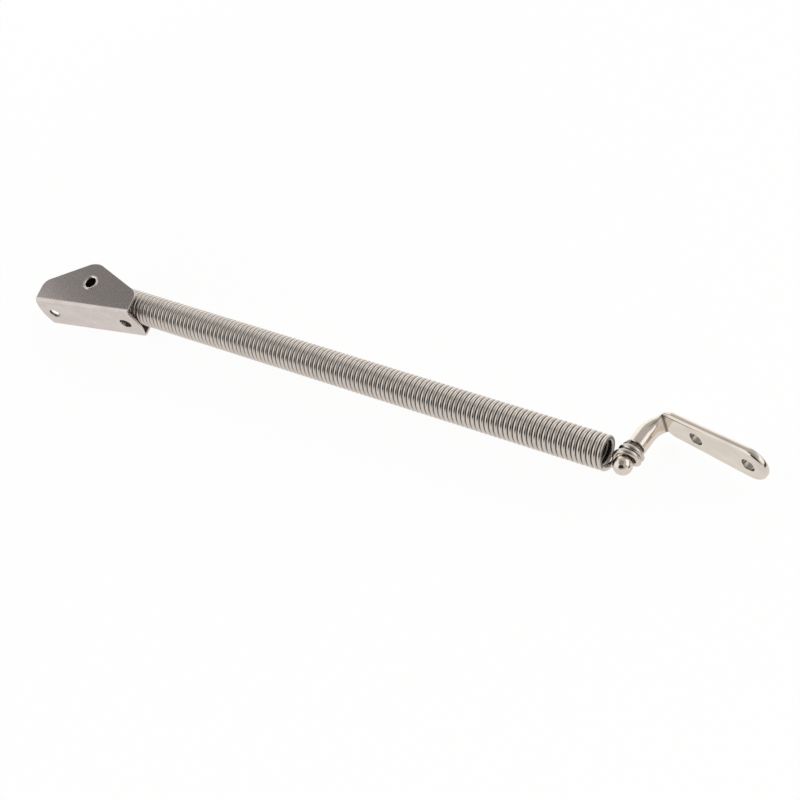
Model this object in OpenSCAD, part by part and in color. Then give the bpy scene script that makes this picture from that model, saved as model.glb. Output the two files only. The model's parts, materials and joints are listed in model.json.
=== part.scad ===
// Sprung hatch stay: a close-wound coil spring that pivots on a tubular rivet in a
// folded deck bracket, with a forged hatch bracket swivelling in the spring's far loop.
// Lying pose. Origin: centre of the deck bracket's mounting face. The face looks along -Y,
// +X runs along the bracket towards the spring, +Z runs along the rivet.

/* [Deck bracket] */
// Length of the web from end to end, at its middle
base_length = 45.6; // [45:0.1:45.8]
// Length at the fold lines, where the ears start
fold_length = 43.4; // [42:0.1:43.8]
// Width over the outer faces of the two ears
base_width = 16.6; // [16.2:0.1:20]
// Thickness of the folded sheet
sheet = 1.2; // [1:0.05:1.25]
// Outer radius of the folds
fold_r = 1.7; // [1.6:0.1:2]
// Distance between the two screw holes
screw_spacing = 33.4; // [30:0.1:34]
// Diameter of the screw holes
screw_d = 4.8; // [4:0.1:5.2]
// Height of the ears above the mounting face
ear_height = 19.5; // [19:0.1:21]
// Radius of the ears' peak
peak_r = 7; // [5:0.5:7.5]
// Place of the peak along X
peak_x = -1.7; // [-2.5:0.1:0]

/* [Rivet] */
// Place of the rivet along X
rivet_x = -0.5; // [-0.8:0.1:0]
// Height of the rivet's axis above the mounting face
rivet_y = 10.9; // [10.9:0.05:11.2]
// Outer diameter of the rivet's tube
rivet_d = 5; // [4.6:0.1:5.2]
// Bore of the rivet's tube
rivet_bore = 4.2; // [3.4:0.1:4.3]
// Diameter of the rolled rims
rim_d = 6.2; // [6:0.1:6.8]

/* [Spring] */
// Outer diameter of the coil
coil_d = 12; // [11.8:0.1:12]
// Diameter of the wire
wire_d = 1.77; // [1.7:0.01:1.78]
// Distance from one turn to the next
pitch = 1.815; // [1.8:0.001:1.82]
// Turns in each group that bends as one
group_turns = 3; // [2:1:4]
// Angle between the resting spring and the mounting face
spring_tilt = 8.6; // [8.4:0.1:8.6]
// Distance from the rivet to the first turn
coil_start = 7.6; // [7.5:0.1:8]
// Distance from the rivet to the pin that the far loop turns on
loop_reach = 227; // [226.5:0.1:230]
// Inner diameter of the loop round the rivet
rivet_loop_id = 5.3; // [5.3:0.1:5.6]
// Inner diameter of the loop round the hatch bracket's neck
hatch_loop_id = 5.45; // [5.35:0.05:5.6]
// Distance from the spring's axis to the first turn of the far loop, along the pin
loop_first = 0.62; // [0.6:0.02:0.8]
// Part turn that ends the wire, past the two full turns of the far loop
tail_angle = 130; // [90:5:180]

/* [Hatch bracket] */
// Turn of the bracket about the spring's axis
hatch_roll = -8.5; // [-15:0.1:0]
// Turn of the bracket that lifts its strap
hatch_lift = -4.4; // [-10:0.1:0]
// Turn of the bracket about the rivet's direction
hatch_yaw = -4.6; // [-10:0.1:0]
// Diameter of the ball head
ball_d = 6.6; // [6.2:0.1:6.8]
// Distance from the spring's axis back to the ball's centre
ball_y = 2.58; // [2.5:0.02:2.8]
// Diameter of the neck that the loop turns on
neck_d = 4.6; // [4:0.1:4.8]
// Distance from the spring's axis to the end of the neck, where the rod starts
neck_end = 5.15; // [5.1:0.05:6]
// Diameter of the rod
rod_d = 6.8; // [6.4:0.1:7]
// Angle past square between the rod and the strap
strap_lean = 7.6; // [0:0.1:10]
// Distance along the pin from the spring's axis to the strap's inner face
strap_offset = 17.45; // [17:0.05:18]
// Thickness of the strap
strap_t = 2.85; // [2.6:0.05:3]
// Outer radius of the bend
bend_r = 9; // [8.5:0.5:10]
// Width of the strap at its free end
strap_w = 12.8; // [12:0.1:13]
// Width of the strap where it leaves the bend
strap_root_w = 10.4; // [10:0.1:11]
// Distance along the strap from the pin to the free end
strap_reach = 43.05; // [43:0.05:46]
// Distance along the strap from the pin to the first screw hole
strap_hole_near = 16; // [15:0.05:17]
// Distance along the strap from the pin to the second screw hole
strap_hole_far = 36.5; // [34:0.05:37]
// Diameter of the strap's screw holes
strap_hole_d = 4.85; // [4.5:0.05:5]

/* [Hidden] */
groups = 39;
$fn = 64;

steel = [0.78, 0.75, 0.72];
bright_steel = [0.86, 0.84, 0.81];
wire_steel = [0.74, 0.71, 0.67];

wire_r = wire_d / 2;
turn_r = coil_d / 2 - wire_r;
group_length = group_turns * pitch;
coil_end = coil_start + groups * group_length;
bead = 0.5;

ear_z = base_width / 2;
shoulder_r = 4.6;
shoulders = [for (side = [-1, 1]) [side * (fold_length / 2 - shoulder_r), 6.4]];
peak = [peak_x, ear_height - peak_r];
hole_clearance = 0.12;
rim_rise = 0.45;
rim_roll = rim_rise / 2;

rivet_turn_r = rivet_loop_id / 2 + wire_r;
hatch_turn_r = hatch_loop_id / 2 + wire_r;
hatch_turn = [hatch_roll, hatch_lift, hatch_yaw];
rod_chamfer = 0.35;
link_r = wire_r - 0.03;
link_angle = 60;
bend_angle = 90 + strap_lean;
bend_x = bend_r - rod_d / 2;
bend_center = [bend_x, strap_offset + (strap_t - bend_r - bend_x * sin(strap_lean)) / cos(strap_lean)];
bend_end = bend_x * cos(strap_lean) + (strap_offset - bend_center.y) * sin(strap_lean);
corner_power = 6;
bend_steps = 6;
fuse = 0.03;

function coil_name(i) = str("coil_", i < 10 ? "0" : "", i);

// Places what follows on the spring: X along its axis from the rivet, Y across, Z up the rivet
module on_spring() {
    translate([rivet_x, rivet_y, 0]) rotate([0, 0, -spring_tilt]) children();
}

// Places what follows on the hatch bracket: Y along the pin from the ball, X towards the strap
module on_hatch() {
    on_spring() translate([loop_reach, 0, 0]) rotate(hatch_turn) children();
}

// Places what follows on the strap: X along it from the pin, Y out of its inner face
module on_strap() {
    translate([0, strap_offset, 0]) rotate([0, 0, -strap_lean]) children();
}

function turn_x(p, a) = [p.x, p.y * cos(a) - p.z * sin(a), p.y * sin(a) + p.z * cos(a)];
function turn_y(p, a) = [p.x * cos(a) + p.z * sin(a), p.y, p.z * cos(a) - p.x * sin(a)];
function turn_z(p, a) = [p.x * cos(a) - p.y * sin(a), p.x * sin(a) + p.y * cos(a), p.z];

// A point given on the hatch bracket, as seen from the far loop's centre on the spring
function on_loop(p) = turn_z(turn_y(turn_x(p, hatch_turn.x), hatch_turn.y), hatch_turn.z);

// Straight stretch of wire between two points that lie inside other wire
module wire_link(from, to) {
    d = to - from;
    translate(from) rotate([0, acos(d.z / norm(d)), atan2(d.y, d.x)]) cylinder(r = link_r, h = norm(d));
}

// Turns of wire round Z as closed rings, joined where they touch
module rings(turns, radius, step) {
    rotate_extrude() union() {
        for (i = [0 : turns - 1]) translate([radius, i * step]) circle(r = wire_r);
        translate([radius - bead / 2, 0]) square([bead, (turns - 1) * step]);
    }
}

// Direction from a shoulder's centre to where the straight edge over it touches the round
function edge_normal(side) =
    let (d = peak - shoulders[side], tilt = acos((shoulder_r - peak_r) / norm(d)))
    atan2(d.y, d.x) + (side == 0 ? tilt : -tilt);
function rim_point(center, r, angle) = center + r * [cos(angle), sin(angle)];

// Outline of an ear, drawn in X and Y
module ear_outline() {
    normals = [edge_normal(0), edge_normal(1)];
    difference() {
        union() {
            for (c = shoulders) translate(c) circle(r = shoulder_r);
            translate(peak) circle(r = peak_r);
            polygon([
                [-fold_length / 2, fold_r],
                shoulders[0] - [shoulder_r, 0],
                shoulders[0],
                rim_point(shoulders[0], shoulder_r, normals[0]),
                rim_point(peak, peak_r, normals[0]),
                peak,
                rim_point(peak, peak_r, normals[1]),
                rim_point(shoulders[1], shoulder_r, normals[1]),
                shoulders[1],
                shoulders[1] + [shoulder_r, 0],
                [fold_length / 2, fold_r]
            ]);
        }
        translate([rivet_x, rivet_y]) circle(r = rivet_d / 2 + hole_clearance / 2);
    }
}

// Outline of the web, drawn in X and Z, with bowed ends
module web_outline() {
    half = ear_z - fold_r;
    bow = (base_length - fold_length) / 2;
    bow_r = (half * half + bow * bow) / (2 * bow);
    difference() {
        union() {
            square([fold_length, 2 * half], center = true);
            for (side = [-1, 1]) intersection() {
                translate([side * (base_length / 2 - bow_r), 0]) circle(r = bow_r, $fn = 128);
                translate([side * base_length / 4, 0])
                    square([base_length / 2, 2 * half], center = true);
            }
        }
        for (side = [-1, 1]) translate([side * screw_spacing / 2, 0]) circle(d = screw_d);
    }
}

module fold_strip() {
    rotate([0, 90, 0]) linear_extrude(fold_length, center = true) difference() {
        intersection() {
            circle(r = fold_r);
            translate([-fold_r, -fold_r]) square(fold_r);
        }
        circle(r = fold_r - sheet);
    }
}

module deck_bracket() {
    color(steel) union() {
        rotate([90, 0, 0]) translate([0, 0, -sheet]) linear_extrude(sheet) web_outline();
        for (side = [0, 1]) mirror([0, 0, side]) {
            translate([0, 0, ear_z - sheet]) linear_extrude(sheet) ear_outline();
            translate([0, fold_r, ear_z - fold_r]) fold_strip();
        }
    }
}

// Tubular rivet: the tube's profile, its ends rolled outwards over the ears
module pivot_rivet() {
    color(bright_steel) translate([rivet_x, rivet_y, 0]) rotate_extrude() {
        translate([rivet_bore / 2, -ear_z - rim_rise + rim_roll])
            square([(rivet_d - rivet_bore) / 2, base_width + 2 * (rim_rise - rim_roll)]);
        for (side = [-1, 1]) {
            translate([rivet_bore / 2 + rim_roll, side * (ear_z + rim_rise - rim_roll)])
                circle(r = rim_roll);
            translate([rim_d / 2 - rim_roll, side * (ear_z + rim_roll)]) circle(r = rim_roll);
            translate([rivet_bore / 2 + rim_roll, side > 0 ? ear_z : -ear_z - rim_rise])
                square([rim_d / 2 - rivet_bore / 2 - 2 * rim_roll, rim_rise]);
        }
    }
}

// Two turns round the rivet, and the wire that runs from them into the coil
module rivet_loop() {
    color(wire_steel) on_spring() {
        translate([0, 0, -pitch / 2]) rings(2, rivet_turn_r, pitch);
        wire_link([1, 0.15 - rivet_turn_r, pitch / 2], [coil_start + pitch / 2, -turn_r, 0]);
    }
}

// One group of turns; group i runs from the rivet end outwards
module coil_group(i) {
    first = coil_start + (i - 1) * group_length + pitch / 2;
    color(wire_steel) on_spring() translate([first, 0, 0]) rotate([0, 90, 0])
        rings(group_turns, turn_r, pitch);
}

// Two turns and a part turn round the hatch bracket's neck, and the wire from the coil
module hatch_loop() {
    color(wire_steel) {
        on_hatch() {
            translate([0, loop_first + pitch, 0]) rotate([90, 0, 0]) rings(2, hatch_turn_r, pitch);
            translate([0, loop_first + 2 * pitch, 0]) rotate([90, 0, 0]) tail();
        }
        on_spring() translate([loop_reach, 0, 0]) wire_link(
            [coil_end - pitch / 2 - loop_reach, -turn_r * cos(link_angle), -turn_r * sin(link_angle)],
            on_loop([-hatch_turn_r, loop_first, 0])
        );
    }
}

// The wire's end: part of a third turn, joined to the second
module tail() {
    rotate([0, 0, 180 - tail_angle]) rotate_extrude(angle = tail_angle) union() {
        translate([hatch_turn_r, 0]) circle(r = wire_r);
        translate([hatch_turn_r - bead / 2, 0]) square([bead, pitch]);
    }
}

// Distance from the bend's centre to its inner side, at an angle from the rod
function inner_r(angle) =
    let (
        rod = max(0, cos(angle)) / (bend_r - rod_d),
        flat = max(0, cos(bend_angle - angle)) / (bend_r - strap_t)
    )
    pow(pow(rod, corner_power) + pow(flat, corner_power), -1 / corner_power);

// Cross-section of the bend at an angle from the rod (0) to the strap (bend_angle): it
// starts as the round rod and ends as the flat strap
module bend_slice(angle) {
    outer = bend_r - fuse;
    thick = outer - inner_r(angle) - fuse;
    k = angle / bend_angle;
    wide = rod_d - fuse + (strap_root_w - rod_d) * k * k * (3 - 2 * k);
    flat = max(0.01, wide - thick);
    translate([bend_center.x, bend_center.y, 0]) rotate([0, 0, 180 - angle])
        translate([outer - thick / 2, 0, 0]) rotate([90, 0, 0])
            linear_extrude(0.02, center = true) union() {
                for (side = [-1, 1]) translate([0, side * flat / 2]) circle(d = thick, $fn = 32);
                square([thick, flat], center = true);
            }
}

module hatch_bracket() {
    color(bright_steel) on_hatch() difference() {
        union() {
            translate([0, -ball_y, 0]) sphere(d = ball_d);
            rotate([-90, 0, 0]) {
                translate([0, 0, -ball_y]) cylinder(d = neck_d, h = ball_y + neck_end + 0.2);
                translate([0, 0, neck_end])
                    cylinder(d1 = rod_d - 2 * rod_chamfer, d2 = rod_d, h = rod_chamfer);
                translate([0, 0, neck_end + rod_chamfer])
                    cylinder(d = rod_d, h = bend_center.y - neck_end - rod_chamfer + 0.2);
            }
            for (i = [0 : bend_steps - 1]) hull() {
                bend_slice(bend_angle * i / bend_steps);
                bend_slice(bend_angle * (i + 1) / bend_steps);
            }
            strap();
        }
        for (hole = [strap_hole_near, strap_hole_far]) on_strap() translate([hole, -1, 0])
            rotate([-90, 0, 0]) cylinder(d = strap_hole_d, h = strap_t + 2);
    }
}

// Flat strap, widening to its round end
module strap() {
    end_r = strap_w / 2;
    on_strap() translate([0, strap_t, 0]) rotate([90, 0, 0]) linear_extrude(strap_t) union() {
        translate([strap_reach - end_r, 0]) circle(r = end_r);
        polygon([
            [bend_end, -strap_root_w / 2],
            [strap_reach - end_r, -end_r],
            [strap_reach - end_r, end_r],
            [bend_end, strap_root_w / 2]
        ]);
    }
}

deck_bracket();
pivot_rivet();
rivet_loop();
for (i = [1 : groups]) coil_group(i);
hatch_loop();
hatch_bracket();
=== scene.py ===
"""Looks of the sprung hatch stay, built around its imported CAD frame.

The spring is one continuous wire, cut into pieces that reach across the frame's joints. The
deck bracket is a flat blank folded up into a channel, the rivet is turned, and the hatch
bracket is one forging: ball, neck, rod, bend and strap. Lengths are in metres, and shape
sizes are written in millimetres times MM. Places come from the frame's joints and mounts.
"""

import json
import math

import bmesh
import bpy
import numpy as np
from mathutils import Matrix, Vector


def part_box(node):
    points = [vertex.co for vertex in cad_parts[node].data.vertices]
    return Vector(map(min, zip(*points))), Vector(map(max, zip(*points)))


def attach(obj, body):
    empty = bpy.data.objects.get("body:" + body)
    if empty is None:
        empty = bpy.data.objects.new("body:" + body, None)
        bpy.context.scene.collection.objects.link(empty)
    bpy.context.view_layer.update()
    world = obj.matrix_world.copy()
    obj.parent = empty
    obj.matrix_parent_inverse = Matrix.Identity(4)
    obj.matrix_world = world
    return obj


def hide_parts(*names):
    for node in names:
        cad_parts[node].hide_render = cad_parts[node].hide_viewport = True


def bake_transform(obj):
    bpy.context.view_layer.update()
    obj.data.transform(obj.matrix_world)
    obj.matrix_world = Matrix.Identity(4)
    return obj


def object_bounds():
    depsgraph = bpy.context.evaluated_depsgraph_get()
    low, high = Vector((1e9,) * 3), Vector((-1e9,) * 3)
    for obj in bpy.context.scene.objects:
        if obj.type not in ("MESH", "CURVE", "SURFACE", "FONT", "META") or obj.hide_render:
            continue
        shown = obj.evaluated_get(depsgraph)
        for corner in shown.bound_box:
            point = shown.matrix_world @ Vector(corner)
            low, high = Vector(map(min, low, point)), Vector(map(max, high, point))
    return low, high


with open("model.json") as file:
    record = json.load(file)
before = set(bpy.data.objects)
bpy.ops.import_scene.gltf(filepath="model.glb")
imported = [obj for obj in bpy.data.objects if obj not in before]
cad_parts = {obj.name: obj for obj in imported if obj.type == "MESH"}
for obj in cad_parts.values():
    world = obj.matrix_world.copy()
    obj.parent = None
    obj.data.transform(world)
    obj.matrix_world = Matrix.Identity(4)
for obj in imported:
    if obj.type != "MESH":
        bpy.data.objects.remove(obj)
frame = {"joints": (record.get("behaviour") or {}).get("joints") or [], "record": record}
cad_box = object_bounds()

MM = 0.001
TURN = 2 * math.pi

# Camera: where it looks from, and the point it looks at
CAMERA_AZIMUTH = math.radians(47.79)
CAMERA_ELEVATION = math.radians(51.85)
CAMERA_ROLL = math.radians(32.25)
CAMERA_DISTANCE = 582.35 * MM
CAMERA_TARGET = Vector((139.4, -14.4, 0)) * MM
LENS_MM = 77.375

# Deck bracket
SHEET = 1.2 * MM
FOLD_R = 1.7 * MM
BOW = 1.1 * MM
SHOULDER_R = 4.6 * MM
SHOULDER_Y = 6.4 * MM
PEAK_R = 7.0 * MM
PEAK_X = -1.7 * MM
SHEET_BEVEL = 0.16 * MM
FOLD_STRIPS = 9
SHOULDER_STEPS = 10
PEAK_STEPS = 16
BOW_STEPS = 14
SCREW_HOLE_STEPS = 48
WORN_EDGE_DEPTH = 0.02 * MM
WORN_EDGE_SOFT = 0.05 * MM
# Strength of the painted shade on the channel's inner face
INSIDE_SHADE = 0.8

# Rivet: a tube whose ends flare and roll over the ears
RIVET_R = 2.5 * MM
RIVET_BORE_R = 2.1 * MM
RIVET_HOLE_R = 2.56 * MM
RIM_R = 3.1 * MM
RIM_RISE = 0.45 * MM
FLARE_FROM = 0.85
RIVET_SIDES = 72
RIM_STEPS = 10

# Spring. HAND is 1 for a right-handed coil, and turns are counted from the rivet.
HAND = 1
HELIX_PHASE = math.pi
GROUP_TURNS = 3
WIRE_SIDES = 18
SEGMENTS_PER_TURN = 52
RIVET_LOOP_R = 3.535 * MM
RIVET_LOOP_FIRST = 0.02
RIVET_LOOP_TURNS = 2.0
RIVET_LOOP_STEPS = 120
RIVET_LEAD_FIRST = 0.62
RIVET_LEAD_PULL = 9 * MM
NECK_LOOP_R = 3.61 * MM
NECK_LOOP_FIRST = 0.17 * MM
NECK_LOOP_TURNS = 2.185
LEAD_DIP = 1.0 * MM
LEAD_DIP_TURNS = 0.42
LEAD_WIDER = 0.5 * MM
LEAD_WIDER_TURNS = 0.3
TAIL_TIGHTER = 0.4 * MM
TAIL_TURNS = 0.35
NECK_LEAD_LATER = 0.19
NECK_LEAD_PULL = 6 * MM
NECK_LOOP_STEPS = 130
LEAD_STEPS = 40
SMOOTHING_PASSES = 3
CUT_CHAMFER = 0.12 * MM

# Painted shade on the wire: how squarely a point faces the next turn where it starts and how
# much more makes it full, then the slope, start and most of the painted shade inside the coil
TOUCH_FROM, TOUCH_SPAN = 0.68, 0.26
INNER_SLOPE, INNER_FROM, INNER_MOST = 1.6, 0.5, 0.9

# Hatch bracket
BALL_R = 3.3 * MM
BALL_A = -2.58 * MM
BALL_SPAN = math.radians(131)
BALL_RINGS = 22
POLE_R = 0.004 * MM
NECK_R = 2.3 * MM
NECK_END = 5.15 * MM
ROD_R = 3.4 * MM
ROD_CHAMFER = 0.35 * MM
ROD_FACE_EDGE = 0.08 * MM
CHAMFER_FROM = math.radians(8)
CHAMFER_RINGS = 6
BEND_R = 9.0 * MM
CORNER_POWER = 10
FLATTEN_FROM = math.radians(45)
STRAP_ROOT_HALF = 5.2 * MM
STRAP_END_HALF = 6.4 * MM
STRAP_EDGE_R = 1.15 * MM
STRAP_REACH = 43.05 * MM
HOLE_ROUNDING = 0.3 * MM
HOLE_SIDES = 64
DRILL_PAST = 1 * MM
SQUARENESS = 9
# Painted shade: the bend's inner corner, how far along the strap it lies, its width and depth, then
# on the neck and the hole walls
CREVICE_ALONG = 3.6 * MM
CREVICE_R = 0.6 * MM
CREASE_SHADE = 1.4
NECK_SHADE = 0.85
HOLE_SHADE = 0.6
RIM_WEAR = 0.4 * MM
BEND_RINGS = 52
STRAP_RINGS = 22
END_RINGS = 18
RING_POINTS = 64
RING_ANGLES = (np.arange(RING_POINTS) + 0.5) * TURN / RING_POINTS

# The neck's fillets, in mm: how far past the ball or before the rod, and how far off the neck
BALL_FILLET = ((0.02, 0.09), (0.18, 0.015), (0.45, 0))
ROD_FILLET = ((0.2, 0), (0.06, 0.05), (0, 0.2))
NECK_MIDDLE = (2.4, 4.6)

joints = {j["name"]: j for j in frame["joints"]}
mounts = {m["name"]: m for m in frame["record"]["mounts"]}


def place(entry):
    return np.array(entry["pos_m"], float)


def direction(entry):
    axis = np.array(entry["axis"], float)
    return axis / np.linalg.norm(axis)


def unit(v):
    return v / np.linalg.norm(v)


# The spring's own directions: ALONG it from the rivet, ACROSS it, and UP the rivet
RIVET = place(joints["rivet_pivot"])
bends = [place(joints["spring_bend"])]
while f"bend_{len(bends) + 1:02d}" in joints:
    bends.append(place(joints[f"bend_{len(bends) + 1:02d}"]))
ALONG = unit(bends[-1] - bends[0])
UP = np.array([0.0, 0.0, 1.0])
ACROSS = np.cross(UP, ALONG)
GROUPS = len(bends) + 1
GROUP_LENGTH = float(np.linalg.norm(bends[-1] - bends[0])) / (len(bends) - 1)
PITCH = GROUP_LENGTH / GROUP_TURNS
COIL_START = float((bends[0] - RIVET) @ ALONG) - GROUP_LENGTH
COIL_END = COIL_START + GROUPS * GROUP_LENGTH
TURN_R = float((bends[0] - RIVET) @ ACROSS)
WIRE_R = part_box("coil_20")[1].z - TURN_R

# The hatch bracket's own directions: PIN from the ball to the rod, OUT towards the strap
HATCH = place(joints["hatch_swivel"])
PIN = direction(joints["hatch_swivel"])
HOLES = [place(mounts["strap_hole_near"]), place(mounts["strap_hole_far"])]
STRAP_DIR = unit(HOLES[1] - HOLES[0])
STRAP_NORMAL = direction(mounts["strap_hole_near"])
LIFT = unit(np.cross(STRAP_DIR, STRAP_NORMAL))
OUT = np.cross(PIN, LIFT)
STRAP_T = mounts["strap_hole_near"]["dims"]["length_mm"] * MM
HOLE_R = mounts["strap_hole_near"]["dims"]["r_mm"] * MM
LEAN = math.acos(float(PIN @ STRAP_NORMAL))
STRAP_OFFSET = (float((HOLES[0] - HATCH) @ STRAP_NORMAL) - STRAP_T / 2) / math.cos(LEAN)
STRAP_FOOT = HATCH + STRAP_OFFSET * PIN


# ---------------------------------------------------------------- mesh helpers

def mesh_object(name, vertices, faces):
    mesh = bpy.data.meshes.new(name)
    mesh.from_pydata([tuple(v) for v in vertices], [], faces)
    mesh.validate()
    obj = bpy.data.objects.new(name, mesh)
    bpy.context.scene.collection.objects.link(obj)
    return obj


def smooth(obj):
    obj.data.polygons.foreach_set("use_smooth", [True] * len(obj.data.polygons))
    obj.data.update()


def store_vectors(obj, name, values):
    attribute = obj.data.attributes.new(name, "FLOAT_VECTOR", "POINT")
    attribute.data.foreach_set("vector", np.asarray(values, np.float32).ravel())


def store_floats(obj, name, values):
    attribute = obj.data.attributes.new(name, "FLOAT", "POINT")
    attribute.data.foreach_set("value", np.asarray(values, np.float32).ravel())


def face_outwards(mesh):
    bm = bmesh.new()
    bm.from_mesh(mesh)
    bmesh.ops.recalc_face_normals(bm, faces=bm.faces)
    bm.to_mesh(mesh)
    bm.free()


def smoothstep(x):
    x = min(1.0, max(0.0, x))
    return x * x * (3 - 2 * x)


def ring_faces(rings, sides):
    """Quads between rings of points, each ring joined to the next."""
    faces = []
    for r in range(rings - 1):
        for s in range(sides):
            a, b = r * sides + s, r * sides + (s + 1) % sides
            faces.append((a, b, b + sides, a + sides))
    return faces


def sharpen(obj, limit_degrees):
    """Marks edges sharper than the limit, so that shading breaks there."""
    bm = bmesh.new()
    bm.from_mesh(obj.data)
    for edge in bm.edges:
        open_edge = len(edge.link_faces) != 2
        edge.smooth = open_edge or edge.calc_face_angle() < math.radians(limit_degrees)
    bm.to_mesh(obj.data)
    bm.free()


def weigh_normals(obj):
    modifier = obj.modifiers.new("flat_faces", "WEIGHTED_NORMAL")
    modifier.mode = "FACE_AREA"
    modifier.weight = 60
    modifier.keep_sharp = True


def hermite(p0, t0, p1, t1, steps):
    """Points of a cubic curve from p0 with tangent t0 to p1 with tangent t1, without its ends."""
    u = np.linspace(0, 1, steps + 2)[1:-1, None]
    return (
        (2 * u**3 - 3 * u**2 + 1) * p0 + (u**3 - 2 * u**2 + u) * t0
        + (3 * u**2 - 2 * u**3) * p1 + (u**3 - u**2) * t1
    )


# ---------------------------------------------------------------- materials

class Nodes:
    """Short ways to add and join shader nodes."""

    def __init__(self, tree):
        self.tree = tree
        tree.nodes.clear()

    def add(self, kind, **settings):
        node = self.tree.nodes.new(kind)
        for name, value in settings.items():
            setattr(node, name, value)
        return node

    def join(self, source, target):
        self.tree.links.new(source, target)

    def feed(self, socket, value):
        if isinstance(value, bpy.types.NodeSocket):
            self.join(value, socket)
        else:
            socket.default_value = value

    def math(self, operation, a, b=0.0, clamp=False):
        node = self.add("ShaderNodeMath", operation=operation, use_clamp=clamp)
        self.feed(node.inputs[0], a)
        self.feed(node.inputs[1], b)
        return node.outputs[0]

    def wrap(self, value, low, high):
        node = self.add("ShaderNodeMath", operation="WRAP")
        for socket, item in zip(node.inputs, (value, high, low)):
            self.feed(socket, item)
        return node.outputs[0]

    def remap(self, value, low, high, to_low, to_high, smoothly=False):
        node = self.add("ShaderNodeMapRange")
        node.interpolation_type = "SMOOTHSTEP" if smoothly else "LINEAR"
        for socket, item in zip(node.inputs[:5], (value, low, high, to_low, to_high)):
            self.feed(socket, item)
        return node.outputs[0]

    def mix(self, factor, a, b):
        node = self.add("ShaderNodeMix", data_type="RGBA")
        self.feed(node.inputs["Factor"], factor)
        self.feed(node.inputs[6], a)
        self.feed(node.inputs[7], b)
        return node.outputs[2]

    def attribute(self, name):
        return self.add("ShaderNodeAttribute", attribute_name=name)

    def noise(self, vector, stretch, detail=3.0, roughness=0.55):
        """Noise over a vector in metres. stretch: features per millimetre along each axis."""
        mapping = self.add("ShaderNodeMapping")
        self.join(vector, mapping.inputs["Vector"])
        mapping.inputs["Scale"].default_value = [s / MM for s in stretch]
        node = self.add("ShaderNodeTexNoise")
        self.join(mapping.outputs[0], node.inputs["Vector"])
        node.inputs["Scale"].default_value = 1.0
        node.inputs["Detail"].default_value = detail
        node.inputs["Roughness"].default_value = roughness
        return node.outputs["Fac"]

    def bump(self, height):
        node = self.add("ShaderNodeBump")
        node.inputs["Distance"].default_value = 1.0
        node.inputs["Strength"].default_value = 1.0
        self.join(height, node.inputs["Height"])
        return node.outputs["Normal"]


# How much darker or brighter than its base colour steel gets: dull grain, clean grain, worn edge
DULL, CLEAN, WORN = 0.86, 1.08, 1.22

# Shares of grain and waves in its tone, the tones and scratch noise that span their full
# ranges, and how much rougher it is under painted shade
GRAIN_SHARE, WAVE_SHARE = 0.6, 0.4
TONE_LOW, TONE_HIGH = 0.35, 0.65
SCRATCH_LOW, SCRATCH_HIGH = 0.60, 0.72
SHADE_ROUGHER = 0.25


def steel(name, color, roughness, variation, grain, wave, scratch, edge=0.0, shade=None):
    """Steel whose grain follows the attribute "grain_co".

    color: base colour. roughness, variation: middle value and half range. grain, wave and
    scratch: (features per mm along each axis, bump height in m). edge: how much the worn
    edges brighten. shade: (attribute, colour) of painted shade, darker where the attribute is high.
    """
    material = bpy.data.materials.new(name)
    material.use_nodes = True
    n = Nodes(material.node_tree)
    shader = n.add("ShaderNodeBsdfPrincipled")
    output = n.add("ShaderNodeOutputMaterial")
    n.join(shader.outputs[0], output.inputs[0])
    shader.inputs["Metallic"].default_value = 1.0
    co = n.attribute("grain_co").outputs["Vector"]
    grains = n.noise(co, grain[0], detail=4.0)
    waves = n.noise(co, wave[0], detail=2.0)
    scratches = n.noise(co, scratch[0], detail=2.0, roughness=0.4)
    lines = n.remap(scratches, SCRATCH_LOW, SCRATCH_HIGH, 0.0, 1.0, smoothly=True)

    tone = n.math(
        "ADD", n.math("MULTIPLY", grains, GRAIN_SHARE), n.math("MULTIPLY", waves, WAVE_SHARE),
    )
    dark, light, bright = ([min(1.0, c * k) for c in color] + [1.0] for k in (DULL, CLEAN, WORN))
    tint = n.mix(n.remap(tone, TONE_LOW, TONE_HIGH, 0.0, 1.0), dark, light)
    rough = n.remap(tone, TONE_LOW, TONE_HIGH, roughness + variation, roughness - variation)
    rough = n.math("ADD", rough, n.math("MULTIPLY", lines, variation))
    if edge:
        worn = n.math("MULTIPLY", n.attribute("edge").outputs["Fac"], edge)
        tint = n.mix(worn, tint, bright)
        rough = n.math("SUBTRACT", rough, n.math("MULTIPLY", worn, variation), clamp=True)
    # Painted shade: the attribute darkens the tint towards the shade colour and roughens it
    if shade:
        crevice_shade = n.attribute(shade[0]).outputs["Fac"]
        tint = n.mix(crevice_shade, tint, list(shade[1]) + [1.0])
        rough = n.math("ADD", rough, n.math("MULTIPLY", crevice_shade, SHADE_ROUGHER))
    n.join(tint, shader.inputs["Base Color"])
    n.join(rough, shader.inputs["Roughness"])

    height = n.math("MULTIPLY", grains, grain[1])
    height = n.math("ADD", height, n.math("MULTIPLY", waves, wave[1]))
    height = n.math("SUBTRACT", height, n.math("MULTIPLY", lines, scratch[1]))
    n.join(n.bump(height), shader.inputs["Normal"])
    return material


def satin_sheet():
    """Rolled and tumbled stainless sheet, its grain along the bracket, with painted shade inside.
    """
    return steel(
        "satin_sheet", (0.78, 0.705, 0.675), 0.25, 0.05,
        grain=((0.4, 9.0, 9.0), 0.0006 * MM), wave=((0.10, 0.16, 0.16), 0.010 * MM),
        scratch=((0.25, 4.0, 4.0), 0.0012 * MM), edge=0.6, shade=("inside", (0.34, 0.31, 0.29)),
    )


def spring_wire():
    """Hard-drawn wire: die lines along it, and painted shade where turns touch and inside the coil.
    """
    return steel(
        "spring_wire", (0.76, 0.70, 0.645), 0.15, 0.05,
        grain=((0.5, 7.0, 7.0), 0.0005 * MM), wave=((0.12, 0.8, 0.8), 0.002 * MM),
        scratch=((0.15, 5.0, 5.0), 0.0008 * MM), shade=("crevice_shade", (0.20, 0.18, 0.16)),
    )


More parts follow.
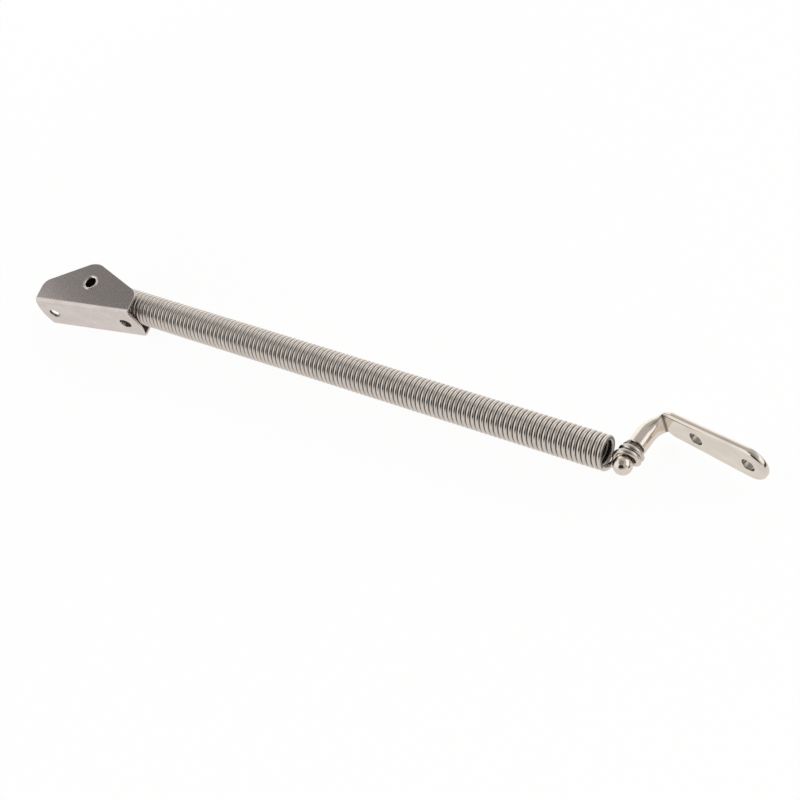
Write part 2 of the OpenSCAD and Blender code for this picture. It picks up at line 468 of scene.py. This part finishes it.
def cut_wire():
    """The wire's sheared end: duller and darker than its drawn surface."""
    return steel(
        "cut_wire", (0.46, 0.45, 0.42), 0.42, 0.08,
        grain=((6.0, 6.0, 6.0), 0.004 * MM), wave=((1.2, 1.2, 1.2), 0.01 * MM),
        scratch=((3.0, 8.0, 8.0), 0.003 * MM),
    )


def polished_steel():
    """Turned and polished, with faint rings round the axis and painted shade in the bore."""
    return steel(
        "polished_steel", (0.83, 0.77, 0.73), 0.14, 0.04,
        grain=((0.3, 8.0, 8.0), 0.0005 * MM), wave=((0.3, 0.5, 0.5), 0.002 * MM),
        scratch=((0.2, 4.0, 4.0), 0.0006 * MM), edge=0.4, shade=("inside", (0.16, 0.14, 0.13)),
    )


def polished_forging():
    """Mirror-polished forging: soft hammered waves under a bright buff, hairline scratches."""
    return steel(
        "polished_forging", (0.85, 0.775, 0.70), 0.075, 0.03,
        grain=((0.25, 3.0, 3.0), 0.00008 * MM), wave=((0.13, 0.17, 0.17), 0.010 * MM),
        scratch=((0.12, 6.0, 6.0), 0.0003 * MM), edge=0.3, shade=("crevice_shade", (0.17, 0.15, 0.13)),
    )


# ---------------------------------------------------------------- spring wire

def helix_point(s, phase):
    """A point on the coil's centreline, at a distance from the rivet and an angle round it."""
    return RIVET + s * ALONG + TURN_R * (math.cos(phase) * ACROSS + math.sin(phase) * UP)


def helix_phase(s):
    return HAND * TURN * (s - COIL_START) / PITCH + HELIX_PHASE


def helix_tangent(s):
    phase = helix_phase(s)
    round_it = -math.sin(phase) * ACROSS + math.cos(phase) * UP
    return unit(ALONG * PITCH / TURN + HAND * TURN_R * round_it)


def helix_radial(s):
    phase = helix_phase(s)
    return math.cos(phase) * ACROSS + math.sin(phase) * UP


def tube(name, points, tangents, normals, lengths, cut_end=False):
    """A wire along its points. Its rings turn with the normals; grain_co runs along it."""
    angles = np.arange(WIRE_SIDES) * TURN / WIRE_SIDES
    radii = np.full(len(points), WIRE_R)
    if cut_end:
        last = points[-1]
        points = np.vstack([points[:-1], last - CUT_CHAMFER * tangents[-1], last])
        tangents = np.vstack([tangents, tangents[-1]])
        normals = np.vstack([normals, normals[-1]])
        lengths = np.append(lengths, lengths[-1] + CUT_CHAMFER)
        radii = np.append(radii, WIRE_R - CUT_CHAMFER)
    binormals = np.cross(tangents, normals)
    ring = (
        np.cos(angles)[None, :, None] * normals[:, None, :]
        + np.sin(angles)[None, :, None] * binormals[:, None, :]
    )
    vertices = (points[:, None, :] + radii[:, None, None] * ring).reshape(-1, 3)
    sides, rings = WIRE_SIDES, len(points)
    faces = ring_faces(rings, sides)
    faces.append(tuple(reversed(range(sides))))
    faces.append(tuple((rings - 1) * sides + s for s in range(sides)))
    obj = mesh_object(name, vertices, faces)
    grain = np.stack(np.broadcast_arrays(
        np.asarray(lengths)[:, None],
        WIRE_R * np.cos(angles)[None, :],
        WIRE_R * np.sin(angles)[None, :],
    ), axis=-1)
    store_vectors(obj, "grain_co", grain.reshape(-1, 3))
    # Painted shade where the wire faces the next turn and on the coil's inside, none past the coil
    between_turns = np.clip((np.abs(ring @ ALONG) - TOUCH_FROM) / TOUCH_SPAN, 0, 1)
    inside_coil = np.clip(-np.cos(angles)[None, :] * INNER_SLOPE - INNER_FROM, 0, INNER_MOST)
    crevice_shade = np.maximum(between_turns, inside_coil)
    along = (points - RIVET) @ ALONG
    past_coil = np.abs(along - (COIL_START + COIL_END) / 2) > (COIL_END - COIL_START) / 2
    crevice_shade[past_coil] = 0
    store_floats(obj, "crevice_shade", crevice_shade.reshape(-1))
    smooth(obj)
    sharpen(obj, limit_degrees=35)
    obj.data.materials.append(materials["spring_wire"])
    if cut_end:
        obj.data.materials.append(materials["cut_wire"])
        obj.data.polygons[len(faces) - 1].material_index = 1
    return obj


def coil_piece(index):
    """Three turns of the coil, from the middle of a group to the middle of the next."""
    start, end = group_middle(index), group_middle(index + 1)
    stations = np.linspace(start, end, GROUP_TURNS * SEGMENTS_PER_TURN + 1)
    points = np.array([helix_point(s, helix_phase(s)) for s in stations])
    tangents = np.array([helix_tangent(s) for s in stations])
    normals = np.array([helix_radial(s) for s in stations])
    lengths = (stations - COIL_START) * math.hypot(TURN * TURN_R, PITCH) / PITCH
    obj = tube(f"wire_{index:02d}", points, tangents, normals, lengths)
    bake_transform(obj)
    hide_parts(f"coil_{index:02d}")


def group_middle(index):
    return COIL_START + (index - 0.5) * GROUP_LENGTH


def even_path(points, step):
    """Points at even distances along a rough path."""
    gaps = np.linalg.norm(np.diff(points, axis=0), axis=1)
    run = np.concatenate([[0], np.cumsum(gaps)])
    count = max(2, int(round(run[-1] / step)))
    at = np.linspace(0, run[-1], count + 1)
    return np.stack([np.interp(at, run, points[:, k]) for k in range(3)], axis=1), at


def wire_along(name, points, normal, length_from, sign, cut_end):
    """A wire along a rough path. Its rings don't twist, and start at the given normal."""
    points, run = even_path(points, TURN * TURN_R / SEGMENTS_PER_TURN)
    for _ in range(SMOOTHING_PASSES):
        points[1:-1] = (points[:-2] + 2 * points[1:-1] + points[2:]) / 4
    tangents = np.gradient(points, axis=0)
    tangents /= np.linalg.norm(tangents, axis=1)[:, None]
    normals = [unit(normal - (normal @ tangents[0]) * tangents[0])]
    for t in tangents[1:]:
        kept = normals[-1] - (normals[-1] @ t) * t
        normals.append(unit(kept))
    return tube(name, points, tangents, np.array(normals), length_from + sign * run, cut_end)


def rivet_loop_point(turn):
    """The loop round the rivet: turn 0 is its end, where it leaves for the coil."""
    angle = -math.pi / 2 + HAND * TURN * turn
    height = (PITCH / 2) * (1 + 2 * turn) + PITCH / 2
    return RIVET + RIVET_LOOP_R * (math.cos(angle) * ALONG + math.sin(angle) * ACROSS) + height * UP


def start_piece():
    """The first turn and a half of the coil, the lead, and two turns round the rivet."""
    middle = group_middle(1)
    first = COIL_START + PITCH * RIVET_LEAD_FIRST
    stations = np.arange(middle, first, -PITCH / SEGMENTS_PER_TURN)
    coil = np.array([helix_point(s, helix_phase(s)) for s in stations])
    turns = np.linspace(RIVET_LOOP_FIRST, RIVET_LOOP_TURNS, RIVET_LOOP_STEPS)
    loop = np.array([rivet_loop_point(-t) for t in turns])
    lead = hermite(
        coil[-1], -RIVET_LEAD_PULL * helix_tangent(stations[-1]),
        loop[0], -RIVET_LEAD_PULL * ALONG, LEAD_STEPS,
    )
    path = np.vstack([coil, lead, loop])
    length = (middle - COIL_START) * math.hypot(TURN * TURN_R, PITCH) / PITCH
    obj = wire_along("wire_start", path, helix_radial(middle), length, -1, True)
    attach(obj, "spring_01")
    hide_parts("rivet_loop")


def neck_loop_point(turn):
    """The loop round the neck. Turn 0 is on its near side, where the lead arrives, rising.

    It starts wider and lower, on the lead, and its last third of a turn hugs the neck.
    """
    angle = math.pi - TURN * turn
    a = NECK_LOOP_FIRST + PITCH * turn - LEAD_DIP * (1 - smoothstep(turn / LEAD_DIP_TURNS))
    r = NECK_LOOP_R + LEAD_WIDER * (1 - smoothstep(turn / LEAD_WIDER_TURNS))
    r -= TAIL_TIGHTER * smoothstep((turn - NECK_LOOP_TURNS + TAIL_TURNS) / TAIL_TURNS)
    return HATCH + r * (math.cos(angle) * OUT + math.sin(angle) * LIFT) + a * PIN


def end_piece():
    """The last turn and a half of the coil, the lead, and the loop round the neck."""
    middle = group_middle(GROUPS)
    last = COIL_END + PITCH * NECK_LEAD_LATER
    stations = np.arange(middle, last, PITCH / SEGMENTS_PER_TURN)
    coil = np.array([helix_point(s, helix_phase(s)) for s in stations])
    turns = np.linspace(0, NECK_LOOP_TURNS, NECK_LOOP_STEPS)
    loop = np.array([neck_loop_point(t) for t in turns])
    lead = hermite(
        coil[-1], NECK_LEAD_PULL * helix_tangent(stations[-1]),
        loop[0], NECK_LEAD_PULL * unit(loop[1] - loop[0]), LEAD_STEPS,
    )
    path = np.vstack([coil, lead, loop])
    length = (middle - COIL_START) * math.hypot(TURN * TURN_R, PITCH) / PITCH
    obj = wire_along("wire_end", path, helix_radial(middle), length, 1, True)
    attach(obj, f"spring_{GROUPS:02d}")
    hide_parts(f"coil_{GROUPS:02d}", "hatch_loop")


# ---------------------------------------------------------------- deck bracket

def arc_points(center, radius, start, end, steps):
    angles = np.linspace(start, end, steps + 1)
    return [(center[0] + radius * math.cos(a), center[1] + radius * math.sin(a)) for a in angles]


def ear_outline(half_length, height):
    """The ear's outline in X and Y, from its right fold corner over the peak to the left."""
    shoulders = [np.array([side * (half_length - SHOULDER_R), SHOULDER_Y]) for side in (1, -1)]
    peak = np.array([PEAK_X, height - PEAK_R])
    normals = []
    for side, shoulder in zip((1, -1), shoulders):
        d = peak - shoulder
        tilt = math.acos((SHOULDER_R - PEAK_R) / np.linalg.norm(d))
        normals.append(math.atan2(d[1], d[0]) - side * tilt)
    right, left = normals[0] % TURN, normals[1] % TURN
    return (
        arc_points(shoulders[0], SHOULDER_R, 0, right, SHOULDER_STEPS)
        + arc_points(peak, PEAK_R, right, left, PEAK_STEPS)
        + arc_points(shoulders[1], SHOULDER_R, left, math.pi, SHOULDER_STEPS)
    )


def blank_outline(half_length, half_web, height, half_bowed):
    """The flat blank before folding, in X and across, with its bowed web ends."""
    arc_length = (FOLD_R - SHEET / 2) * math.pi / 2
    over = half_web + arc_length - FOLD_R
    ear = [(half_length, FOLD_R)] + ear_outline(half_length, height) + [(-half_length, FOLD_R)]
    upper = [(x, y + over) for x, y in ear]
    bow = half_bowed - half_length
    bow_r = (half_web**2 + bow**2) / (2 * bow)
    spread = math.asin(half_web / bow_r)
    middle = half_bowed - bow_r
    left = arc_points((-middle, 0), bow_r, math.pi - spread, math.pi + spread, BOW_STEPS)
    right = arc_points((middle, 0), bow_r, -spread, spread, BOW_STEPS)
    lower = [(x, -t) for x, t in reversed(upper)]
    return upper + left + lower + right


def add_spline(curve, points):
    spline = curve.splines.new("POLY")
    spline.points.add(len(points) - 1)
    for item, (x, y) in zip(spline.points, points):
        item.co = (x, y, 0, 1)
    spline.use_cyclic_u = True


def blank_mesh(outline, holes):
    """The blank as a plate with rounded edges, lying in X and Y, its thickness along Z."""
    curve = bpy.data.curves.new("blank", "CURVE")
    curve.dimensions = "2D"
    curve.fill_mode = "BOTH"
    curve.extrude = SHEET / 2 - SHEET_BEVEL
    curve.bevel_depth = SHEET_BEVEL
    curve.bevel_resolution = 2
    curve.offset = -SHEET_BEVEL
    add_spline(curve, outline)
    for center, radius in holes:
        add_spline(curve, arc_points(center, radius, 0, TURN, SCREW_HOLE_STEPS)[:-1])
    holder = bpy.data.objects.new("blank", curve)
    bpy.context.scene.collection.objects.link(holder)
    bpy.context.view_layer.update()
    graph = bpy.context.evaluated_depsgraph_get()
    mesh = bpy.data.meshes.new_from_object(holder.evaluated_get(graph))
    bpy.data.objects.remove(holder)
    return mesh


def fold(points, half_web):
    """Folds blank points (X, across, thickness from the outer face) up into the channel."""
    arc_length = (FOLD_R - SHEET / 2) * math.pi / 2
    x, t, w = points.T
    side = np.sign(t)
    past = np.clip(np.abs(t) - half_web, 0, None)
    angle = np.clip(past / arc_length, 0, 1) * math.pi / 2
    beyond = np.clip(past - arc_length, 0, None)
    rho = FOLD_R - w
    y = FOLD_R - rho * np.cos(angle) + beyond
    z = side * (np.minimum(np.abs(t), half_web) + rho * np.sin(angle))
    return np.stack([x, y, z], axis=1)


def deck_bracket():
    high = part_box("deck_bracket")[1]
    half_web = high.z - FOLD_R
    half_bowed = high.x
    half_length = half_bowed - BOW
    arc_length = (FOLD_R - SHEET / 2) * math.pi / 2
    outline = blank_outline(half_length, half_web, high.y, half_bowed)
    screw = mounts["deck_holes"]["dims"]
    screw_x = screw["spacing_x_mm"] / 2 * MM
    holes = [((side * screw_x, 0), screw["hole_r_mm"] * MM) for side in (-1, 1)]
    rivet_t = half_web + arc_length + RIVET[1] - FOLD_R
    holes += [((RIVET[0], side * rivet_t), RIVET_HOLE_R) for side in (-1, 1)]
    mesh = blank_mesh(outline, holes)

    bm = bmesh.new()
    bm.from_mesh(mesh)
    bmesh.ops.remove_doubles(bm, verts=bm.verts, dist=0.001 * MM)
    for side in (-1, 1):
        for t in np.linspace(half_web, half_web + arc_length, FOLD_STRIPS + 1):
            bmesh.ops.bisect_plane(
                bm, geom=bm.verts[:] + bm.edges[:] + bm.faces[:],
                plane_co=(0, side * t, 0), plane_no=(0, 1, 0), dist=0.0001 * MM,
            )
    bmesh.ops.recalc_face_normals(bm, faces=bm.faces)
    bm.to_mesh(mesh)
    bm.free()
    flat = np.array([v.co for v in mesh.vertices])
    thickness = flat[:, 2] + SHEET / 2
    blank = np.stack([flat[:, 0], flat[:, 1], thickness], axis=1)
    obj = bpy.data.objects.new("deck_bracket_sheet", mesh)
    bpy.context.scene.collection.objects.link(obj)
    folded = fold(blank, half_web)
    mesh.vertices.foreach_set("co", folded.astype(np.float32).ravel())
    mesh.update()
    face_outwards(mesh)
    store_vectors(obj, "grain_co", blank)
    from_face = np.minimum(thickness, SHEET - thickness)
    store_floats(obj, "edge", np.clip((from_face - WORN_EDGE_DEPTH) / WORN_EDGE_SOFT, 0, 1))
    # Painted shade on the channel's inner face
    inside = np.clip(2 * (thickness / SHEET - 1) + INSIDE_SHADE, 0, INSIDE_SHADE)
    store_floats(obj, "inside", inside)
    smooth(obj)
    weigh_normals(obj)
    mesh.materials.clear()
    mesh.materials.append(materials["satin_sheet"])
    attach(obj, "deck")
    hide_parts("deck_bracket")


# ---------------------------------------------------------------- rivet

def rivet_profile(half_width):
    """Radius and height of the tube, its flare and its rolled rim: upper half, inside first."""
    top = half_width + RIM_RISE
    flare = RIM_R - RIM_RISE / 2 - RIVET_BORE_R
    lip = RIM_RISE / 2
    profile = [(RIVET_BORE_R, half_width * part) for part in (0, 0.5, FLARE_FROM)]
    inner = (RIVET_BORE_R + flare, top - flare)
    profile += arc_points(inner, flare, math.pi, math.pi / 2, RIM_STEPS)[:-1]
    profile += arc_points((RIM_R - lip, top - lip), lip, math.pi / 2, -math.pi / 2, RIM_STEPS)
    profile += [(RIVET_R, half_width * part) for part in (1, 0.5, 0)]
    return profile


def pivot_rivet():
    upper = rivet_profile(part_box("deck_bracket")[1].z)
    lower = [(r, -h) for r, h in reversed(upper)][1:-1]
    profile = np.array(upper + lower)
    vertices, grain = [], []
    for k in range(RIVET_SIDES):
        angle = TURN * k / RIVET_SIDES
        around = np.array([math.cos(angle), math.sin(angle), 0])
        for r, h in profile:
            vertices.append(RIVET + r * around + h * UP)
            grain.append((RIVET_R * angle, r, h))
    count = len(profile)
    faces = []
    for k in range(RIVET_SIDES):
        after = (k + 1) % RIVET_SIDES
        for s in range(count):
            t = (s + 1) % count
            faces.append((k * count + s, k * count + t, after * count + t, after * count + s))
    obj = mesh_object("pivot_rivet_tube", vertices, faces)
    face_outwards(obj.data)
    store_vectors(obj, "grain_co", grain)
    heights = np.abs([g[2] for g in grain])
    store_floats(obj, "edge", np.clip((heights - heights.max() + RIM_RISE) / RIM_RISE, 0, 1))
    # Painted shade in the rivet's bore
    bore = [float(r < RIVET_BORE_R + 0.1 * MM) for _, r, _ in grain]
    store_floats(obj, "inside", bore)
    smooth(obj)
    sharpen(obj, limit_degrees=50)
    obj.data.materials.append(materials["polished_steel"])
    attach(obj, "deck")
    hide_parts("pivot_rivet")


# ---------------------------------------------------------------- hatch bracket

def round_section(radius):
    """A circle's points: (towards the bend's centre, up)."""
    return radius * np.stack([np.cos(RING_ANGLES), np.sin(RING_ANGLES)], axis=1)


def flat_section(half_thick, half_wide, corner):
    """A rounded rectangle's points, at the same angles round its corners as a circle's."""
    cx, cy = half_thick - corner, half_wide - corner
    cos, sin = np.cos(RING_ANGLES), np.sin(RING_ANGLES)
    arc = corner * np.stack([cos, sin], axis=1)
    spread = np.tanh(SQUARENESS * np.stack([cos, sin], axis=1)) / math.tanh(SQUARENESS)
    return arc + spread * np.array([cx, cy])


def blend_section(half_thick, half_wide, corner, amount):
    """Between the round rod's section (amount 0) and the flat strap's (amount 1)."""
    oval = round_section(1.0) * np.array([half_thick, half_wide])
    return (1 - amount) * oval + amount * flat_section(half_thick, half_wide, corner)


def pin_profile():
    """Place along the pin and radius, from the ball's pole to the end of the straight rod."""
    ball = np.linspace(0, BALL_SPAN, BALL_RINGS)
    profile = [(BALL_A - BALL_R * math.cos(t), max(BALL_R * math.sin(t), POLE_R)) for t in ball]
    meet = BALL_A + math.sqrt(BALL_R**2 - NECK_R**2)
    profile += [(meet + a * MM, NECK_R + r * MM) for a, r in BALL_FILLET]
    profile += [(a * MM, NECK_R) for a in NECK_MIDDLE]
    profile += [(NECK_END - a * MM, NECK_R + r * MM) for a, r in ROD_FILLET]
    profile.append((NECK_END, ROD_R - ROD_CHAMFER - ROD_FACE_EDGE))
    for t in np.linspace(CHAMFER_FROM, math.pi / 2, CHAMFER_RINGS):
        radius = ROD_R - ROD_CHAMFER * (1 - math.sin(t))
        profile.append((NECK_END + ROD_CHAMFER * (1 - math.cos(t)), radius))
    return profile


def hatch_rings():
    """Rings of points from the ball, along the pin and round the bend, to the strap's end."""
    rings = []

    def add(center, inward, section):
        rings.append(center + section[:, :1] * inward + section[:, 1:] * LIFT)

    for a, r in pin_profile():
        add(HATCH + a * PIN, OUT, round_section(r))

    bend_angle = math.pi / 2 + LEAN
    bend_x = BEND_R - ROD_R
    bend_a = STRAP_OFFSET + (STRAP_T - BEND_R - bend_x * math.sin(LEAN)) / math.cos(LEAN)
    center = HATCH + bend_x * OUT + bend_a * PIN
    for angle in np.linspace(0, bend_angle, BEND_RINGS):
        outward = -math.cos(angle) * OUT + math.sin(angle) * PIN
        rod = max(0.0, math.cos(angle)) / (BEND_R - 2 * ROD_R)
        flat = max(0.0, math.cos(bend_angle - angle)) / (BEND_R - STRAP_T)
        inner = (rod**CORNER_POWER + flat**CORNER_POWER) ** (-1 / CORNER_POWER)
        k = smoothstep((angle - FLATTEN_FROM) / (bend_angle - FLATTEN_FROM))
        half_thick = (BEND_R - inner) / 2
        half_wide = ROD_R + (STRAP_ROOT_HALF - ROD_R) * k
        corner = half_thick + (STRAP_EDGE_R - half_thick) * k
        middle = center + (inner + half_thick) * outward
        add(middle, -outward, blend_section(half_thick, half_wide, corner, k))

    root = float((center - STRAP_FOOT) @ STRAP_DIR)
    end = STRAP_REACH - STRAP_END_HALF
    half_t = STRAP_T / 2
    for u in np.linspace(root, end, STRAP_RINGS)[1:]:
        part = (u - root) / (end - root)
        k = smoothstep(part) * 0.5 + part * 0.5
        half = STRAP_ROOT_HALF + (STRAP_END_HALF - STRAP_ROOT_HALF) * k
        middle = STRAP_FOOT + u * STRAP_DIR + half_t * STRAP_NORMAL
        add(middle, -STRAP_NORMAL, flat_section(half_t, half, STRAP_EDGE_R))

    last = flat_section(half_t, STRAP_END_HALF, STRAP_EDGE_R)
    for turn in np.linspace(0, math.pi / 2, END_RINGS + 1)[1:]:
        reach = end + np.abs(last[:, 1]) * math.sin(turn)
        points = STRAP_FOOT + reach[:, None] * STRAP_DIR + half_t * STRAP_NORMAL
        rings.append(points - last[:, :1] * STRAP_NORMAL + last[:, 1:] * math.cos(turn) * LIFT)
    return rings


def hole_cutter(center):
    """A drill with flared ends, which leaves a hole with rounded edges."""
    half = STRAP_T / 2
    flare = [(HOLE_R + HOLE_ROUNDING * (1 - math.cos(t)), half - HOLE_ROUNDING * (1 - math.sin(t)))
             for t in np.linspace(0, math.pi / 2, 6)]
    flare.append((HOLE_R + HOLE_ROUNDING, half + DRILL_PAST))
    profile = [(r, -h) for r, h in reversed(flare)] + flare
    side = np.cross(STRAP_NORMAL, STRAP_DIR)
    vertices = []
    for r, h in profile:
        for k in range(HOLE_SIDES):
            angle = TURN * k / HOLE_SIDES
            around = math.cos(angle) * STRAP_DIR + math.sin(angle) * side
            vertices.append(center + r * around + h * STRAP_NORMAL)
    faces = ring_faces(len(profile), HOLE_SIDES)
    faces.append(tuple(reversed(range(HOLE_SIDES))))
    faces.append(tuple((len(profile) - 1) * HOLE_SIDES + k for k in range(HOLE_SIDES)))
    return mesh_object("cutter", vertices, faces)


def hatch_bracket():
    rings = hatch_rings()
    faces = ring_faces(len(rings), RING_POINTS)
    faces.append(tuple(reversed(range(RING_POINTS))))
    obj = mesh_object("hatch_bracket_forging", np.vstack(rings), faces)
    bm = bmesh.new()
    bm.from_mesh(obj.data)
    bmesh.ops.remove_doubles(bm, verts=bm.verts, dist=0.002 * MM)
    bmesh.ops.dissolve_degenerate(bm, edges=bm.edges, dist=0.0005 * MM)
    bmesh.ops.recalc_face_normals(bm, faces=bm.faces)
    bm.to_mesh(obj.data)
    bm.free()
    for center in HOLES:
        bool_cut(obj, hole_cutter(center))
    store_wear_and_shade(obj)
    smooth(obj)
    sharpen(obj, limit_degrees=52)
    weigh_normals(obj)
    obj.data.materials.clear()
    obj.data.materials.append(materials["polished_forging"])
    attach(obj, "hatch")
    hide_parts("hatch_bracket")


def bool_cut(obj, cutter):
    modifier = obj.modifiers.new("cut", "BOOLEAN")
    modifier.operation = "DIFFERENCE"
    modifier.solver = "EXACT"
    modifier.object = cutter
    bpy.context.view_layer.update()
    graph = bpy.context.evaluated_depsgraph_get()
    mesh = bpy.data.meshes.new_from_object(obj.evaluated_get(graph))
    obj.modifiers.clear()
    obj.data = mesh
    bpy.data.objects.remove(cutter)


def store_wear_and_shade(obj):
    """Grain along the rod and the strap, bright worn hole rims, painted shade on neck, holes and
    corner.
    """
    co = np.array([v.co for v in obj.data.vertices])
    along_pin = (co - HATCH) @ PIN
    along_strap = (co - STRAP_FOOT) @ STRAP_DIR
    through = (co - STRAP_FOOT) @ STRAP_NORMAL
    sideways = (co - HATCH) @ LIFT
    store_vectors(obj, "grain_co", np.column_stack([along_pin + along_strap, through, sideways]))

    rim = np.zeros(len(co))
    # Painted shade on the hole walls
    wall = np.zeros(len(co))
    for center in HOLES:
        offset = co - center
        flat = offset - (offset @ STRAP_NORMAL)[:, None] * STRAP_NORMAL
        distance = np.linalg.norm(flat, axis=1)
        from_rim = np.abs(distance - HOLE_R - HOLE_ROUNDING / 2)
        rim = np.maximum(rim, np.clip(1 - from_rim / RIM_WEAR, 0, 1))
        wall[distance < HOLE_R + 0.05 * MM] = HOLE_SHADE
    store_floats(obj, "edge", rim)

    # Painted shade on the neck and in the bend's inner corner
    from_pin = np.linalg.norm(co - HATCH - along_pin[:, None] * PIN, axis=1)
    on_neck = (along_pin > 0) & (along_pin < NECK_END + 0.05 * MM)
    neck = on_neck & (from_pin < NECK_R + 0.3 * MM)
    corner = STRAP_FOOT + CREVICE_ALONG * STRAP_DIR
    from_corner = np.linalg.norm(np.cross(co - corner, LIFT), axis=1)
    crease = np.clip(CREASE_SHADE - from_corner / CREVICE_R, 0, 1)
    store_floats(obj, "crevice_shade", np.maximum.reduce([neck * NECK_SHADE, wall, crease]))


# ---------------------------------------------------------------- stage

# Studio round the object: (azimuth, elevation) of a panel's middle, its half sizes, how
# soft its edges are, all in degrees, and its brightness. Azimuth 0 is along +X, 90 along +Y.
# A later panel lies over the earlier ones: table, sky, side lights, key light, two dark flags.
ROOM = 0.50
PANELS = [
    ((0, -50), (180, 60), 6, 0.80),
    ((0, 78), (180, 15), 6, 0.27),
    ((126, -15), (30, 44), 8, 1.10),
    ((-163, 31), (44, 27), 7, 0.95),
    ((28, 22), (34, 17), 5, 1.14),
    ((-86, 43), (36, 19), 7, 0.03),
    ((14, -9), (28, 9), 4, 0.05),
]

# A black card held near the deck bracket: its direction and distance from it, and its size
CARD_AZIMUTH = math.radians(134)
CARD_ELEVATION = math.radians(50)
CARD_DISTANCE = 150 * MM
CARD_HALF = 50 * MM
CARD_GLOW = 0.2

# The table top: its half size in metres, its place under the object, and its light
TABLE_HALF = 3.0
TABLE_GAP = 0.2 * MM
TABLE_WHITE = 0.93
TABLE_MATTE = 0.12


def studio_world():
    """Soft panels of light and shade, as seen from the object."""
    world = bpy.data.worlds.new("studio")
    bpy.context.scene.world = world
    world.use_nodes = True
    n = Nodes(world.node_tree)
    co = n.add("ShaderNodeTexCoord").outputs["Generated"]
    split = n.add("ShaderNodeSeparateXYZ")
    n.join(co, split.inputs[0])
    x, y, z = split.outputs
    azimuth = n.math("DEGREES", n.math("ARCTAN2", y, x))
    elevation = n.math("DEGREES", n.math("ARCSINE", z))
    value = ROOM
    for (az, el), (half_az, half_el), soft, brightness in PANELS:
        in_az = 1.0
        if half_az < 180:
            off = n.math("ABSOLUTE", n.wrap(n.math("SUBTRACT", azimuth, float(az)), -180.0, 180.0))
            in_az = n.remap(off, half_az - soft, half_az + soft, 1.0, 0.0, smoothly=True)
        rise = n.math("ABSOLUTE", n.math("SUBTRACT", elevation, float(el)))
        in_el = n.remap(rise, half_el - soft, half_el + soft, 1.0, 0.0, smoothly=True)
        mask = n.math("MULTIPLY", in_az, in_el)
        gray = n.math("MULTIPLY", mask, n.math("SUBTRACT", brightness, value))
        value = n.math("ADD", value, gray)
    shown = n.add("ShaderNodeBackground")
    n.join(value, shown.inputs["Strength"])
    shown.inputs["Color"].default_value = (1.0, 0.985, 0.965, 1.0)
    plain = n.add("ShaderNodeBackground")
    plain.inputs["Color"].default_value = [TABLE_WHITE] * 3 + [1.0]
    seen = n.add("ShaderNodeLightPath").outputs["Is Camera Ray"]
    mixed = n.add("ShaderNodeMixShader")
    n.join(seen, mixed.inputs[0])
    n.join(shown.outputs[0], mixed.inputs[1])
    n.join(plain.outputs[0], mixed.inputs[2])
    output = n.add("ShaderNodeOutputWorld")
    n.join(mixed.outputs[0], output.inputs[0])


def black_card():
    """A dark flag that the deck bracket's ear mirrors. The camera doesn't see it."""
    flat, up = math.cos(CARD_ELEVATION), math.sin(CARD_ELEVATION)
    away = np.array([flat * math.cos(CARD_AZIMUTH), flat * math.sin(CARD_AZIMUTH), up])
    side = unit(np.cross(UP, away))
    tall = np.cross(away, side)
    middle = RIVET + CARD_DISTANCE * away
    signs = ((-1, -1), (1, -1), (1, 1), (-1, 1))
    corners = [middle + CARD_HALF * (a * side + b * tall) for a, b in signs]
    obj = mesh_object("black_card", corners, [(0, 1, 2, 3)])
    material = bpy.data.materials.new("black_card")
    material.use_nodes = True
    n = Nodes(material.node_tree)
    glow = n.add("ShaderNodeEmission")
    glow.inputs["Strength"].default_value = CARD_GLOW
    output = n.add("ShaderNodeOutputMaterial")
    n.join(glow.outputs[0], output.inputs[0])
    obj.data.materials.append(material)
    obj.visible_camera = False


def floor():
    """A plain white table top just under the object."""
    size = TABLE_HALF
    z = cad_box[0][2] - TABLE_GAP
    corners = [(-size, -size, z), (size, -size, z), (size, size, z), (-size, size, z)]
    obj = mesh_object("floor", corners, [(0, 1, 2, 3)])
    material = bpy.data.materials.new("table_top")
    material.use_nodes = True
    n = Nodes(material.node_tree)
    glow = n.add("ShaderNodeEmission")
    glow.inputs["Color"].default_value = (1, 1, 1, 1)
    glow.inputs["Strength"].default_value = TABLE_WHITE
    matte = n.add("ShaderNodeBsdfDiffuse")
    matte.inputs["Color"].default_value = [TABLE_MATTE] * 3 + [1.0]
    both = n.add("ShaderNodeAddShader")
    n.join(glow.outputs[0], both.inputs[0])
    n.join(matte.outputs[0], both.inputs[1])
    output = n.add("ShaderNodeOutputMaterial")
    n.join(both.outputs[0], output.inputs[0])
    obj.data.materials.append(material)
    obj.visible_glossy = False
    obj.visible_diffuse = False


def camera():
    """The camera at its azimuth and elevation round the target, rolled about its own axis."""
    az, el = CAMERA_AZIMUTH, CAMERA_ELEVATION
    forward = Vector((-math.sin(az) * math.cos(el), math.cos(az) * math.cos(el), -math.sin(el)))
    level = Vector((math.cos(az), math.sin(az), 0))
    upright = level.cross(forward)
    right = math.cos(CAMERA_ROLL) * level - math.sin(CAMERA_ROLL) * upright
    top = right.cross(forward)
    data = bpy.data.cameras.new("camera")
    data.lens = LENS_MM
    data.sensor_width = 36
    data.clip_start = 0.01
    obj = bpy.data.objects.new("camera", data)
    bpy.context.scene.collection.objects.link(obj)
    turn = Matrix((right, top, -forward)).transposed().to_4x4()
    obj.matrix_world = Matrix.Translation(CAMERA_TARGET - CAMERA_DISTANCE * forward) @ turn
    bpy.context.scene.camera = obj


camera()
makers = (satin_sheet, spring_wire, cut_wire, polished_steel, polished_forging)
materials = {make.__name__: make() for make in makers}
studio_world()
floor()
black_card()
deck_bracket()
pivot_rivet()
start_piece()
for group in range(1, GROUPS):
    coil_piece(group)
end_piece()
hatch_bracket()
bpy.context.scene.view_settings.view_transform = "Standard"
